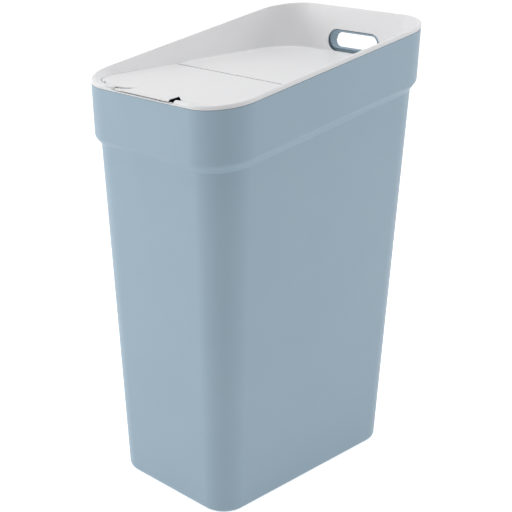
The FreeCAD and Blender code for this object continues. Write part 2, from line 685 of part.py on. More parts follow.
def make_front_flap():
    """The hinged flap: plate, barrel with its two pins, finger tab, notches and ribs."""
    body = DOC.addObject("PartDesign::Body", "front_flap")
    outline = deck_outline(DECK, SIZE["flap_gap"])
    outline.front = FLAP_FRONT
    half_width = outline.half_width_at(ZERO)
    plate = front_sketch(body, "PlateOutline", outline, HINGE_Y + SIZE["flap_behind_hinge"])
    extrude(body, "Plate", plate, SIZE["flap_thickness"], backwards=True)

    barrel = circle_sketch(body, "BarrelRound", ZERO, HINGE_Y, HINGE_Z, SIZE["barrel_radius"])
    extrude(body, "Barrel", barrel, half_width * 2, both_ways=True)
    pin_reach = half_width + SIZE["flap_gap"] + SIZE["pin_length"]
    pins = circle_sketch(body, "PinRound", ZERO, HINGE_Y, HINGE_Z, SIZE["pin_radius"])
    extrude(body, "Pins", pins, pin_reach * 2, both_ways=True)

    half_tab = SIZE["tab_half_width"]
    root = FLAP_FRONT + SIZE["flap_thickness"]
    tab_points = rectangle(-half_tab, half_tab, TAB_TOP.along(TAB_TIP), TAB_TOP.along(root))
    tab_sketch = polygon_sketch(body, "TabOutline", "XY_Plane", tab_points, TAB_TOP.height,
                                TAB_TOP.slope)
    extrude(body, "Tab", tab_sketch, SIZE["tab_thickness"], backwards=True)

    def on_tab_tip(point):
        on_top = abs(point.z - TAB_TOP.height_at(Term(point.y, "")).value) < 0.01
        return on_top and abs(point.y - TAB_TIP.value) < 0.01

    round_edges(body, "TabRound", on_tab_tip, SIZE["tab_round"])

    past_front = FLAP_FRONT - SIZE["overrun"]
    mouth = SIZE["root_notch_mouth"]
    root_notch = ((half_tab, past_front), (half_tab + mouth, past_front),
                  (half_tab + mouth, FLAP_FRONT),
                  (half_tab + mouth / 2 - SIZE["root_notch_lean"], FLAP_FRONT + SIZE["root_notch_depth"]),
                  (half_tab, FLAP_FRONT))
    root_sketch = polygon_sketch(body, "RootNotchOutline", "XY_Plane", root_notch, DECK.height)
    root_cut = extrude(body, "RootNotch", root_sketch, SIZE["flap_thickness"] + SIZE["overrun"],
                       cut=True)
    middle = SIZE["corner_notch_from_middle"]
    half_mouth = SIZE["corner_notch_mouth"] / 2
    corner_notch = ((middle - half_mouth, past_front), (middle + half_mouth, past_front),
                    (middle + half_mouth, FLAP_FRONT + SIZE["flap_gap"]),
                    (middle + SIZE["corner_notch_lean"], FLAP_FRONT + SIZE["corner_notch_depth"]),
                    (middle - half_mouth, FLAP_FRONT))
    corner_sketch = polygon_sketch(body, "CornerNotchOutline", "XY_Plane", corner_notch,
                                   DECK.height)
    corner_cut = extrude(body, "CornerNotch", corner_sketch, SIZE["flap_thickness"], cut=True)
    mirror_across(body, "FarNotches", [root_cut, corner_cut])

    margin = SIZE["flap_rib_margin"]
    wall = SIZE["flap_rib_wall"]
    first = -SIZE["flap_rib_pitch"] * (SIZE["flap_rib_count"] - 1) / 2
    rib_points = rectangle(first - wall / 2, first + wall / 2,
                           FLAP_FRONT + SIZE["ledge_width"] + margin, HINGE_Y - margin)
    rib_sketch = polygon_sketch(body, "FlapRibOutline", "XY_Plane", rib_points,
                                DECK.height - SIZE["flap_thickness"])
    rib = extrude(body, "FlapRib", rib_sketch, SIZE["flap_rib_depth"], backwards=True)
    repeat_across(body, "FlapRibs", rib, SIZE["flap_rib_pitch"], SIZE["flap_rib_count"])
    return body


def check_and_export(pieces):
    """Stops on a failed object or shape, then writes each piece to its own file."""
    DOC.recompute()
    for thing in DOC.Objects:
        if "Invalid" in thing.State or "Error" in thing.State:
            raise RuntimeError(f"{thing.Label} failed: {thing.State}")
    os.makedirs("parts", exist_ok=True)
    for piece in pieces:
        shape = piece.Shape
        if shape.isNull() or not shape.isValid():
            raise RuntimeError(f"{piece.Label} has no valid shape")
        shape.exportStep(f"parts/{piece.Label}.step")
        box = shape.BoundBox
        print(f"{piece.Label}: {shape.Volume:.0f} mm3, {len(shape.Solids)} solid, "
              f"x {box.XMin:.2f} {box.XMax:.2f}, y {box.YMin:.2f} {box.YMax:.2f}, "
              f"z {box.ZMin:.2f} {box.ZMax:.2f}")


check_and_export([make_bin_body(), make_lid_frame(), make_front_flap()])
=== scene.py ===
"""Looks of a slant-topped kitchen bin: its mouldings, their finishes, the studio and the camera.

The frame is the CAD model's: Z up, the low front at -Y, the floor at z = 0. The mouldings' sizes are
millimetres; the finishes, the studio and the camera are in metres.
"""
from __future__ import annotations

import json
import logging
from dataclasses import dataclass
from enum import Enum
from math import atan, cos, hypot, pi, radians, sin, tan, tau
from typing import Any, Callable

import bmesh
import bpy
from mathutils import Matrix, Vector

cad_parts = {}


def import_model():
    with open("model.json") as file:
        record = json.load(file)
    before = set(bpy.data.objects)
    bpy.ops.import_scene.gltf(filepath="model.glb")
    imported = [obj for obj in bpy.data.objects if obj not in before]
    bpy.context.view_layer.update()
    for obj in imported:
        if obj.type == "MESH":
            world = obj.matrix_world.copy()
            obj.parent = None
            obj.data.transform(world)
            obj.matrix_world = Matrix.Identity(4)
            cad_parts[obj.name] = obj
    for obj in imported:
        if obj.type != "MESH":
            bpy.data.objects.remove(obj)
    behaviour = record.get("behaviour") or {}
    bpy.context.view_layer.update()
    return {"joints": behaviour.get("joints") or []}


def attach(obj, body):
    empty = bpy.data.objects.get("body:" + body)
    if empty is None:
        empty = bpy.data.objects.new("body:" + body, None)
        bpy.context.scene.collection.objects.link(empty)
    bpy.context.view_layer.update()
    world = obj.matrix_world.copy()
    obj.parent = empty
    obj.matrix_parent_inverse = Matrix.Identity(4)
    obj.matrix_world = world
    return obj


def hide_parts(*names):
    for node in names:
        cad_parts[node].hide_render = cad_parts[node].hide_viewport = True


LOG = logging.getLogger("bin")
MM = 0.001
WHITE = (1, 1, 1, 1)
NOISE_MIDDLE = 0.5
ARC_STEPS = 16
SIDE_STEPS = 4
CIRCLE_STEPS = 48
# From this turn between its two faces an edge counts as sharp.
SHARP_ANGLE = radians(24)
# Points this near to each other are joined, and those this near to a face count as on it, millimetres.
WELD = 0.01
TOUCH = 0.02
WALL_TOUCH = 0.05
Outline = list[tuple[float, float]]


class SocketExpr:
    """A shader output that adds Math nodes to its graph when it is used in arithmetic."""

    def __init__(self, graph: ShaderGraph, socket: bpy.types.NodeSocket) -> None:
        """Wraps one output socket of a graph."""
        self.graph = graph
        self.socket = socket

    def _math(self, operation: str, *operands: Any) -> SocketExpr:
        """Adds a Math node with the given inputs and returns its result."""
        return self.graph.add("ShaderNodeMath", dict(enumerate(operands)), operation=operation)

    def __add__(self, other: Any) -> SocketExpr:
        """Sum."""
        return self._math("ADD", self, other)

    __radd__ = __add__

    def __sub__(self, other: Any) -> SocketExpr:
        """Difference."""
        return self._math("SUBTRACT", self, other)

    def __mul__(self, other: Any) -> SocketExpr:
        """Product."""
        return self._math("MULTIPLY", self, other)

    __rmul__ = __mul__

    def most(self, other: SocketExpr) -> SocketExpr:
        """The larger of two values."""
        return self._math("MAXIMUM", self, other)

    def smooth_between(self, low: float, high: float) -> SocketExpr:
        """Maps low to 0 and high to 1 with a soft start and end."""
        inputs = {"Value": self, "From Min": low, "From Max": high}
        return self.graph.add("ShaderNodeMapRange", inputs, interpolation_type="SMOOTHSTEP")


class ShaderGraph:
    """The node tree of a material or a world, built from expressions."""

    def __init__(self, owner: bpy.types.Material | bpy.types.World) -> None:
        """Takes over the owner's node tree and empties it.

        Args:
            owner: The material or world.
        """
        owner.use_nodes = True
        self.tree = owner.node_tree
        self.tree.nodes.clear()

    def node(self, kind: str, inputs: dict[Any, Any] | None = None, **settings: Any) -> bpy.types.Node:
        """Adds a node, sets it up and joins its inputs.

        Args:
            kind: The node's type.
            inputs: Values or expressions by input name or index.
            settings: Properties to set before the inputs.

        Returns:
            The node.
        """
        node = self.tree.nodes.new(kind)
        for key, value in settings.items():
            setattr(node, key, value)
        for key, value in (inputs or {}).items():
            if isinstance(value, SocketExpr):
                self.tree.links.new(value.socket, node.inputs[key])
            else:
                node.inputs[key].default_value = value
        return node

    def add(self, kind: str, inputs: dict[Any, Any] | None = None, output: Any = 0,
            **settings: Any) -> SocketExpr:
        """Adds a node and returns one of its outputs, chosen by name or index."""
        return SocketExpr(self, self.node(kind, inputs, **settings).outputs[output])

    def noise(self, scale: float, detail: float, roughness: float = 0.5) -> SocketExpr:
        """Noise about 0.5 over the object, with its scale in waves per metre."""
        inputs = {"Vector": self.add("ShaderNodeTexCoord", output="Object"), "Scale": scale,
                  "Detail": detail, "Roughness": roughness}
        return self.add("ShaderNodeTexNoise", inputs, "Fac")

    def seen(self) -> SocketExpr:
        """Gives 1 to camera, glossy and transmission rays and 0 to all others."""
        rays = self.node("ShaderNodeLightPath").outputs
        seen, glossy, through = (SocketExpr(self, rays[f"Is {kind} Ray"])
                                 for kind in ("Camera", "Glossy", "Transmission"))
        return seen.most(glossy).most(through)

    def mix_colour(self, share: Any, first: Any, second: Any) -> SocketExpr:
        """Blends two colours; the share is how much of the second there is."""
        return self.add("ShaderNodeMix", {"Factor": share, 6: first, 7: second}, 2, data_type="RGBA")

    def mix_shader(self, share: SocketExpr, first: SocketExpr, second: SocketExpr) -> SocketExpr:
        """Blends two shaders; the share is how much of the second there is."""
        return self.add("ShaderNodeMixShader", {0: share, 1: first, 2: second})


def linear(srgb: tuple[int, int, int]) -> tuple[float, ...]:
    """Turns a screen colour, from 0 to 255, into the renderer's, with an alpha of 1."""
    shares = (value / 255 for value in srgb)
    return (*(share / 12.92 if share <= 0.04045 else ((share + 0.055) / 1.055) ** 2.4
              for share in shares), 1.0)


@dataclass(frozen=True)
class MouldedFinish:
    """Matt moulded plastic: one colour, a fine sparked grain and faint flow and handling marks."""

    name: str
    slot: str
    colour: tuple[int, int, int]
    shade: tuple[int, int, int]
    roughness: float
    grain_pitch: float = 0.45 * MM
    grain_depth: float = 0.015 * MM
    grain_roughness: float = 0.6
    speck_pitch: float = 2.7 * MM
    speck_share: float = 0.08
    flow_pitch: float = 90 * MM
    flow_share: float = 0.35
    flow_low: float = 0.3
    flow_high: float = 0.7
    refraction: float = 1.49

    def build(self) -> bpy.types.Material:
        """Makes the material, or finds the one already made.

        Returns:
            The finished material.
        """
        made = bpy.data.materials.get(self.name)
        if made:
            return made
        material = bpy.data.materials.new(self.name)
        graph = ShaderGraph(material)
        flow = graph.noise(1 / self.flow_pitch, 3.0).smooth_between(self.flow_low, self.flow_high)
        speck = graph.noise(1 / self.speck_pitch, 2.0)
        grain = graph.noise(1 / self.grain_pitch, 3.0, self.grain_roughness)
        bump = {"Strength": 1.0, "Distance": self.grain_depth, "Height": grain}
        plastic = graph.add("ShaderNodeBsdfPrincipled", {
            "Base Color": graph.mix_colour(flow * self.flow_share, linear(self.colour), linear(self.shade)),
            "Roughness": self.roughness + self.speck_share * (speck - NOISE_MIDDLE),
            "Normal": graph.add("ShaderNodeBump", bump, "Normal"),
            "IOR": self.refraction,
        })
        graph.node("ShaderNodeOutputMaterial", {"Surface": plastic})
        return material


class Join(Enum):
    """How a second solid changes the first."""

    ADD = "UNION"
    CUT = "DIFFERENCE"


@dataclass(frozen=True)
class Station:
    """Where a ring of the shell lies: its distance out of the drafted wall, and its plane."""

    out: float
    height: float
    slope: float = 0.0


def rounded_rings(corners: list[tuple[list[Vector], float, int]]) -> list[list[Vector]]:
    """Turns a profile's sharp rings into rings with an arc at each corner.

    Args:
        corners: Each sharp ring with its radius and its number of faces; a radius of 0 keeps it.

    Returns:
        The rings in order.
    """
    rings = []
    for index, (ring, radius, steps) in enumerate(corners):
        if not radius:
            rings.append(ring)
            continue
        rows = [[] for _ in range(steps + 1)]
        for before, corner, after in zip(corners[index - 1][0], ring, corners[index + 1][0]):
            first = (before - corner).normalized()
            second = (after - corner).normalized()
            turn = pi - first.angle(second)
            reach = radius * tan(turn / 2)
            centre = corner + (first + second).normalized() * radius / cos(turn / 2)
            start = corner + first * reach - centre
            end = corner + second * reach - centre
            side = (end - start * cos(turn)) / sin(turn)
            for step, row in enumerate(rows):
                angle = turn * step / steps
                row.append(centre + start * cos(angle) + side * sin(angle))
        rings += rows
    return rings


def arc(x: float, y: float, radius: float, start: float, turn: float = 90) -> Outline:
    """Points along an arc about (x, y), from its first angle over its turn, in degrees."""
    angles = [radians(start + turn * step / ARC_STEPS) for step in range(ARC_STEPS + 1)]
    return [(x + radius * cos(angle), y + radius * sin(angle)) for angle in angles]


def circle(x: float, y: float, radius: float) -> Outline:
    """Points round a circle about (x, y)."""
    angles = [tau * step / CIRCLE_STEPS for step in range(CIRCLE_STEPS)]
    return [(x + radius * cos(angle), y + radius * sin(angle)) for angle in angles]


def outline(rear: tuple[float, float, float], front: tuple[float, float, float], height: float,
            slope: float = 0.0) -> list[Vector]:
    """Points round a four-cornered outline with round corners, on a plane that may climb.

    Args:
        rear: The rear corners' distance from the middle, their y along the plane and their radius.
        front: The same for the front corners.
        height: The plane's height at y = 0.
        slope: The plane's climb towards the back.

    Returns:
        The points in order, anticlockwise seen from above.
    """
    flat = []
    for start, side, (x, y, radius) in ((0, 1, rear), (90, -1, rear), (180, -1, front), (270, 1, front)):
        flat += [Vector(point) for point in arc(side * x, y, radius, start)]
    points = []
    for index, point in enumerate(flat):
        points.append(point)
        if index % (ARC_STEPS + 1) == ARC_STEPS:
            following = flat[(index + 1) % len(flat)]
            points += [point.lerp(following, step / SIDE_STEPS) for step in range(1, SIDE_STEPS)]
    tilt = cos(atan(slope))
    return [Vector((point.x, point.y * tilt, height + slope * point.y * tilt)) for point in points]


def stadium(y: float, height: float, half_length: float, half_height: float) -> list[Vector]:
    """Points round an upright slot with round ends, with its middle at a depth and a height."""
    ends = ((half_length - half_height, -90), (half_height - half_length, 90))
    return [Vector((x, y, z)) for middle, start in ends
            for x, z in arc(middle, height, half_height, start, 180)]


def direction(azimuth: float, elevation: float) -> Vector:
    """The way from the bin to a viewpoint, whose azimuth counts from the front, in degrees."""
    turn, rise = radians(azimuth), radians(elevation)
    return Vector((sin(turn) * cos(rise), -cos(turn) * cos(rise), sin(rise)))


def placed(name: str, data: Any) -> bpy.types.Object:
    """Puts a new object in the scene.

    Args:
        name: Its name.
        data: Its mesh, camera or lamp.

    Returns:
        The object.
    """
    thing = bpy.data.objects.new(name, data)
    bpy.context.scene.collection.objects.link(thing)
    return thing


def rectangle(x_low: float, x_high: float, y_low: float, y_high: float) -> Outline:
    """The corners of an upright rectangle seen from above, in order."""
    return [(x_low, y_low), (x_high, y_low), (x_high, y_high), (x_low, y_high)]


class Solid:
    """A closed mesh in millimetres that is shaped step by step."""

    def __init__(self) -> None:
        """Starts empty."""
        self.shape = bmesh.new()

    @classmethod
    def lofted(cls, rings: list[list[Vector]]) -> Solid:
        """Skins a row of rings that have the same number of points, and closes both ends.

        Args:
            rings: The rings in order.

        Returns:
            The closed solid.
        """
        solid = cls()
        shape = solid.shape
        ring = bmesh.ops.create_circle(shape, segments=len(rings[0]), radius=1.0)["verts"]
        for vert, point in zip(ring, rings[0]):
            vert.co = point
        for points in rings[1:]:
            edges = [shape.edges.get(pair) for pair in zip(ring, ring[1:] + ring[:1])]
            made = bmesh.ops.extrude_edge_only(shape, edges=edges)["geom"]
            fresh = {item for item in made if isinstance(item, bmesh.types.BMVert)}
            ring = [next(edge.other_vert(vert) for edge in vert.link_edges
                         if edge.other_vert(vert) in fresh) for vert in ring]
            for vert, point in zip(ring, points):
                vert.co = point
        bmesh.ops.holes_fill(shape, edges=shape.edges, sides=0)
        bmesh.ops.recalc_face_normals(shape, faces=shape.faces)
        return solid

    @classmethod
    def prism(cls, points: Outline, low: float, high: float) -> Solid:
        """An upright block between two heights, with its outline as seen from above."""
        return cls.lofted([[Vector((x, y, height)) for x, y in points] for height in (low, high)])

    @classmethod
    def bar(cls, section: Outline, left: float, right: float) -> Solid:
        """A straight bar across the bin, with its section as pairs of y and height."""
        return cls.lofted([[Vector((x, y, z)) for y, z in section] for x in (left, right)])

    def _object(self, name: str) -> bpy.types.Object:
        """Puts a copy of the mesh in the scene.

        Args:
            name: The copy's name.

        Returns:
            The copy's object.
        """
        mesh = bpy.data.meshes.new(name)
        self.shape.to_mesh(mesh)
        return placed(name, mesh)

    def combine(self, other: Solid, how: Join) -> None:
        """Adds another solid to this one or cuts it away.

        Args:
            other: The second solid.
            how: Whether it is added or cut away.
        """
        base = self._object("base")
        tool = other._object("tool")
        modifier = base.modifiers.new("combine", "BOOLEAN")
        modifier.operation = how.value
        modifier.solver = "EXACT"
        modifier.object = tool
        graph = bpy.context.evaluated_depsgraph_get()
        result = bpy.data.meshes.new_from_object(base.evaluated_get(graph))
        self.shape.clear()
        self.shape.from_mesh(result)
        for thing in (base, tool):
            bpy.data.meshes.remove(thing.data)
        bpy.data.meshes.remove(result)

    def add(self, *others: Solid) -> None:
        """Adds other solids to this one."""
        for other in others:
            self.combine(other, Join.ADD)

    def cut(self, *others: Solid) -> None:
        """Cuts other solids out of this one."""
        for other in others:
            self.combine(other, Join.CUT)

    def soften(self, width: float, where: Callable[[Vector], bool], segments: int = 3) -> None:
        """Rounds the edges at which two faces meet sharply.

        Args:
            width: How far the rounding reaches from the edge.
            where: Tells whether a point lies where edges are rounded.
            segments: Number of faces across the rounding.
        """
        shape = self.shape
        bmesh.ops.remove_doubles(shape, verts=shape.verts, dist=WELD)
        sharp = [edge for edge in shape.edges
                 if edge.is_manifold and edge.calc_face_angle() > SHARP_ANGLE
                 and all(where(vert.co) for vert in edge.verts)]
        bmesh.ops.bevel(shape, geom=sharp, offset=width, segments=segments, profile=0.5,
                        affect="EDGES", material=-1, clamp_overlap=False)
        bmesh.ops.remove_doubles(shape, verts=shape.verts, dist=WELD / 2)

    def finish(self, name: str, body: str, node: str, finish: MouldedFinish) -> None:
        """Makes the finished piece, in metres, in place of its CAD node.

        Args:
            name: The piece's name.
            body: The moving body that it rides on.
            node: The CAD node that it stands for.
            finish: Its plastic.
        """
        bmesh.ops.scale(self.shape, vec=Vector((MM, MM, MM)), verts=self.shape.verts)
        piece = self._object(name)
        self.shape.free()
        piece.data.shade_smooth()
        normals = piece.modifiers.new("normals", "WEIGHTED_NORMAL")
        normals.keep_sharp = True
        piece.data.materials.append(finish.build())
        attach(piece, body)
        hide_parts(node)
        LOG.info("%s made in place of %s", name, node)


@dataclass(frozen=True)
class TubForm:
    """The tapering four-sided form that the tub, its collar and the lid's rim all follow."""

    half_width: float = 95.7
    front_depth: float = 155.9
    back_depth: float = 142.3
    corner_radius: float = 32.0
    corner_growth: float = 0.0268
    side_draft: float = 0.0435
    front_draft: float = 0.0356
    back_draft: float = 0.0591
    rim_front_height: float = 494.4
    rim_slope: float = 0.1558
    rim_step: float = 5.6
    collar_front_height: float = 71.1
    shoulder_slope: float = 0.1502

    @property
    def rim_reach(self) -> float:
        """How far forward the rim's front edge is."""
        return self.front_depth + self.front_draft * self.rim_front_height + self.rim_step

    @property
    def rim(self) -> Station:
        """The rim's outer edge."""
        height = self.rim_front_height + self.rim_slope * self.rim_reach
        return Station(self.rim_step, height, self.rim_slope)

    @property
    def shoulder(self) -> Station:
        """The foot of the shoulder, where the wall starts to step out."""
        height = self.rim_front_height - self.collar_front_height + self.shoulder_slope * self.rim_reach
        return Station(0.0, height, self.shoulder_slope)

    def front(self, station: Station) -> float:
        """Where a ring's front is."""
        reach = self.front_depth + self.front_draft * station.height + station.out
        return -reach / (1 + self.front_draft * station.slope)

    def back(self, station: Station) -> float:
        """Where a ring's back is."""
        reach = self.back_depth + self.back_draft * station.height + station.out
        return reach / (1 - self.back_draft * station.slope)

    def half_width_at(self, station: Station, y: float) -> float:
        """Half a ring's width at a depth y."""
        return self.half_width + self.side_draft * (station.height + station.slope * y) + station.out

    def radius_at(self, station: Station) -> float:
        """A ring's corner radius."""
        return self.corner_radius + self.corner_growth * station.height + station.out

    def reach_out(self, point: Vector, station: Station) -> float:
        """How far a point lies outside a ring, seen from above.

        Args:
            point: The point.
            station: Where the ring lies.

        Returns:
            The distance, negative inside the ring.
        """
        radius = self.radius_at(station)
        across = abs(point.x) - self.half_width_at(station, point.y) + radius
        along = max(self.front(station) + radius - point.y, point.y - self.back(station) + radius)
        return hypot(max(0.0, across), max(0.0, along)) - radius

    def ring(self, station: Station) -> list[Vector]:
        """The points of a ring.

        Args:
            station: Where the ring lies.

        Returns:
            Its points in order.
        """
        radius = self.radius_at(station)
        tilt = cos(atan(station.slope))
        ends = ((self.back(station), -radius), (self.front(station), radius))
        corners = ((self.half_width_at(station, y + inward) - radius, y / tilt + inward, radius)
                   for y, inward in ends)
        return outline(*corners, station.height, station.slope)


@dataclass(frozen=True)
class TrayForm:
    """The lid's lip, and the tray that falls from it to the flat deck."""

    tub: TubForm = TubForm()
    deck_above_rim_front: float = 3.8
    deck_inset: float = 11.5
    front_radius: float = 40.0
    back_radius: float = 50.0
    lip_height: float = 5.0
    lip_width: float = 4.1
    wall: float = 1.5

    @property
    def deck_height(self) -> float:
        """Height of the deck's top face."""
        return self.tub.rim_front_height + self.deck_above_rim_front

    @property
    def deck_half_width(self) -> float:
        """Half the deck's width at the foot of its walls."""
        return self.tub.half_width_at(self.tub.rim, 0.0) - self.deck_inset

    @property
    def deck_front(self) -> float:
        """Where the deck's foot is at the front."""
        return self.tub.front(self.tub.rim) + self.deck_inset

    @property
    def deck_back(self) -> float:
        """Where the deck's foot is at the back."""
        return self.tub.back(self.tub.rim) - self.deck_inset

    def lip(self, inset: float, rise: float = 0.0) -> Station:
        """A station inside the rim's outer edge by an inset, on the lip's top face or above it."""
        rim = self.tub.rim
        return Station(rim.out - inset, rim.height + self.lip_height + rise, rim.slope)

    def deck_ring(self, height: float, inset: float = 0.0) -> list[Vector]:
        """The deck's outline at a height, moved inwards by an inset."""
        ends = ((self.back_radius, self.deck_back - self.back_radius),
                (self.front_radius, self.deck_front + self.front_radius))
        return outline(*((self.deck_half_width - radius, y, radius - inset) for radius, y in ends), height)

    def back_at(self, height: float) -> float:
        """How far back the tray's inner face is.

        Args:
            height: The height at which it is asked for.

        Returns:
            Its y.
        """
        lip = self.lip(self.lip_width)
        lip_back = self.tub.back(lip)
        lip_height = lip.height + lip.slope * lip_back
        share = (height - self.deck_height) / (lip_height - self.deck_height)
        return self.deck_back + (lip_back - self.deck_back) * share


@dataclass(frozen=True)
class HandHole:
    """The slot through the back: its flared mouth in the tub and the larger one in the lid."""

    tray: TrayForm = TrayForm()
    above_deck: float = 15.3
    half_length: float = 33.3
    half_height: float = 9.0
    flare: float = 1.1
    flare_length: float = 8.1
    flange_wall: float = 2.2
    flange_to_lid: float = 0.8
    lid_drop: float = 0.7
    lid_margin: float = 3.8
    lid_end_margin: float = 1.1
    slot_tail: float = 9.0

    @property
    def height(self) -> float:
        """Height of the slot's middle."""
        return self.tray.deck_height + self.above_deck

    @property
    def mouth(self) -> tuple[float, float]:
        """Half length and half height of the flared mouth."""
        return self.half_length + self.flare_length, self.half_height + self.flare

    def flange_end(self) -> float:
        """Where the flange's front face is, just behind the lid's tray."""
        top = self.height + self.mouth[1] + self.flange_wall
        return self.tray.back_at(top) + self.tray.wall + self.flange_to_lid

    def flange(self, root: float) -> Solid:
        """The stubby tube, not yet hollow, from its root in the tub's back wall to the lid."""
        length, height = (size + self.flange_wall for size in self.mouth)
        return Solid.lofted([stadium(y, self.height, length, height) for y in (self.flange_end(), root)])

    def slot(self, throat: float, overrun: float) -> Solid:
        """The cutter for the slot in the tub.

        Args:
            throat: Where the flare ends.
            overrun: How far the cutter runs past the mouth.

        Returns:
            The cutter.
        """
        end = self.flange_end()
        share = overrun / (throat - end)
        length = self.mouth[0] + self.flare_length * share
        height = self.mouth[1] + self.flare * share
        return Solid.lofted([
            stadium(end - overrun, self.height, length, height),
            stadium(throat, self.height, self.half_length, self.half_height),
            stadium(throat + self.slot_tail, self.height, self.half_length, self.half_height)])

    def lid_slot(self, start: float, overrun: float) -> Solid:
        """The cutter for the slot in the lid's tray.

        Args:
            start: Where it starts, in front of the tray's back wall.
            overrun: How far it runs past the wall.

        Returns:
            The cutter.
        """
        length = self.mouth[0] + self.lid_end_margin
        height = self.mouth[1] + self.lid_margin
        middle = self.height - self.lid_drop
        reach = self.tray.back_at(middle + height) + self.tray.wall + overrun
        return Solid.lofted([stadium(y, middle, length, height) for y in (start, reach)])


@dataclass(frozen=True)
class BinBody:
    """The tub: foot ring, drafted walls, shoulder, collar, rim and the flanged hand hole."""

    finish: MouldedFinish
    hole: HandHole = HandHole()
    wall: float = 2.4
    floor_thickness: float = 4.0
    base_radius: float = 8.0
    inner_radius: float = 6.0
    foot_ring_width: float = 14.0
    foot_ring_round: float = 0.5
    base_recess: float = 1.6
    base_cap_inset: float = 30.0
    shoulder_step: float = 6.9
    shoulder_rise: float = 10.0
    shoulder_round: float = 7.0
    shoulder_foot_round: float = 0.6
    shoulder_bend: float = 0.744
    rim_round: float = 1.4
    rim_inner_round: float = 0.8
    gate_radius: float = 5.0
    gate_rise: float = 0.6
    hole_round: float = 0.7
    overrun: float = 3.0

    def _profile(self) -> list[tuple[Station, float, int]]:
        """The wall's corners from the base up the outside and down the inside.

        Returns:
            Each corner's station, its radius and the number of faces round it; 0 for the ends.
        """
        tub = self.hole.tray.tub
        foot = tub.shoulder
        rim = tub.rim
        top = foot.height + self.shoulder_rise
        bend = self.shoulder_bend
        return [
            (Station(-self.base_cap_inset, self.base_recess), 0.0, 0),
            (Station(-self.foot_ring_width, self.base_recess), self.foot_ring_round, 3),
            (Station(-self.foot_ring_width, 0.0), self.foot_ring_round, 3),
            (Station(0.0, 0.0), self.base_radius, 10),
            (foot, self.shoulder_foot_round, 3),
            (Station(self.shoulder_step, top, foot.slope), self.shoulder_round, 6),
            (rim, self.rim_round, 6),
            (Station(rim.out - self.wall, rim.height, rim.slope), self.rim_inner_round, 3),
            (Station(self.shoulder_step - self.wall, top + bend, foot.slope),
             self.shoulder_round - self.wall, 5),
            (Station(-self.wall, foot.height + bend, foot.slope), self.wall, 4),
            (Station(-self.wall, self.floor_thickness), self.inner_radius, 8),
            (Station(-self.base_cap_inset, self.floor_thickness), 0.0, 0),
        ]

    def _gate(self) -> Solid:
        """The round mark under the base where the plastic was let in.

        Returns:
            The mark's block.
        """
        tub = self.hole.tray.tub
        middle = (tub.back(Station(0.0, 0.0)) + tub.front(Station(0.0, 0.0))) / 2
        rows = ((self.gate_radius - self.gate_rise, self.base_recess - self.gate_rise),
                (self.gate_radius, self.base_recess + self.gate_rise))
        return Solid.lofted([[Vector((x, y, height)) for x, y in circle(0, middle, radius)]
                             for radius, height in rows])

    def build(self) -> None:
        """Models the tub."""
        tub = self.hole.tray.tub
        solid = Solid.lofted(rounded_rings([(tub.ring(station), radius, steps)
                                            for station, radius, steps in self._profile()]))
        top = self.hole.height + self.hole.mouth[1] + self.hole.flange_wall
        outside = tub.back(Station(tub.rim_step, top))
        solid.add(self.hole.flange(outside - self.wall / 2), self._gate())
        solid.cut(self.hole.slot(outside, self.overrun))
        reach_x = self.hole.mouth[0] + self.hole.flange_wall * 2
        floor_gap = self.hole.height - self.hole.mouth[1] - self.hole.flange_wall * 2

        def near_hole(point: Vector) -> bool:
            """Whether a point is round the hand hole or the gate mark."""
            at_hole = abs(point.x) < reach_x and point.y > 0 and floor_gap < point.z < top + self.wall
            low = point.z < self.base_recess + self.gate_rise
            return at_hole or (low and abs(point.x) < self.gate_radius * 2)

        solid.soften(self.hole_round, near_hole)
        solid.finish("tub", "bin", "bin_body", self.finish)


@dataclass(frozen=True)
class HingeForm:
    """Where the flap turns: a barrel along its back edge with a pin at each end."""

    y: float
    height: float
    barrel_radius: float = 2.8
    gap: float = 0.9
    pin_radius: float = 1.9
    pin_length: float = 3.4
    pin_clearance: float = 0.08
    boss_radius: float = 4.2
    boss_length: float = 5.6

    @property
    def slot_reach(self) -> float:
        """Half the width of the slot that the barrel turns in."""
        return self.barrel_radius + self.gap

    def rod(self, start: float, end: float, radius: float) -> Solid:
        """A round rod on the hinge's axis."""
        return Solid.bar(circle(self.y, self.height, radius), start, end)

    def rods(self, start: float, end: float, radius: float) -> list[Solid]:
        """The same rod on both sides of the bin."""
        return [self.rod(*sorted((side * start, side * end)), radius) for side in (1, -1)]


@dataclass(frozen=True)
class RibRow:
    """Ribs that stand side by side under a plate."""

    depth: float
    wall: float
    pitch: float
    margin: float
    count: int = 5

    def build(self, low: float, high: float, under: float, root: float) -> list[Solid]:
        """Makes the ribs.

        Args:
            low: The front end of the room under the plate.
            high: Its back end.
            under: Height of the plate's underside.
            root: How far the ribs reach into the plate.

        Returns:
            A block for each rib.
        """
        half = self.wall / 2
        middles = [self.pitch * (index - (self.count - 1) / 2) for index in range(self.count)]
        return [Solid.prism(rectangle(x - half, x + half, low + self.margin, high - self.margin),
                            under - self.depth, under + root) for x in middles]


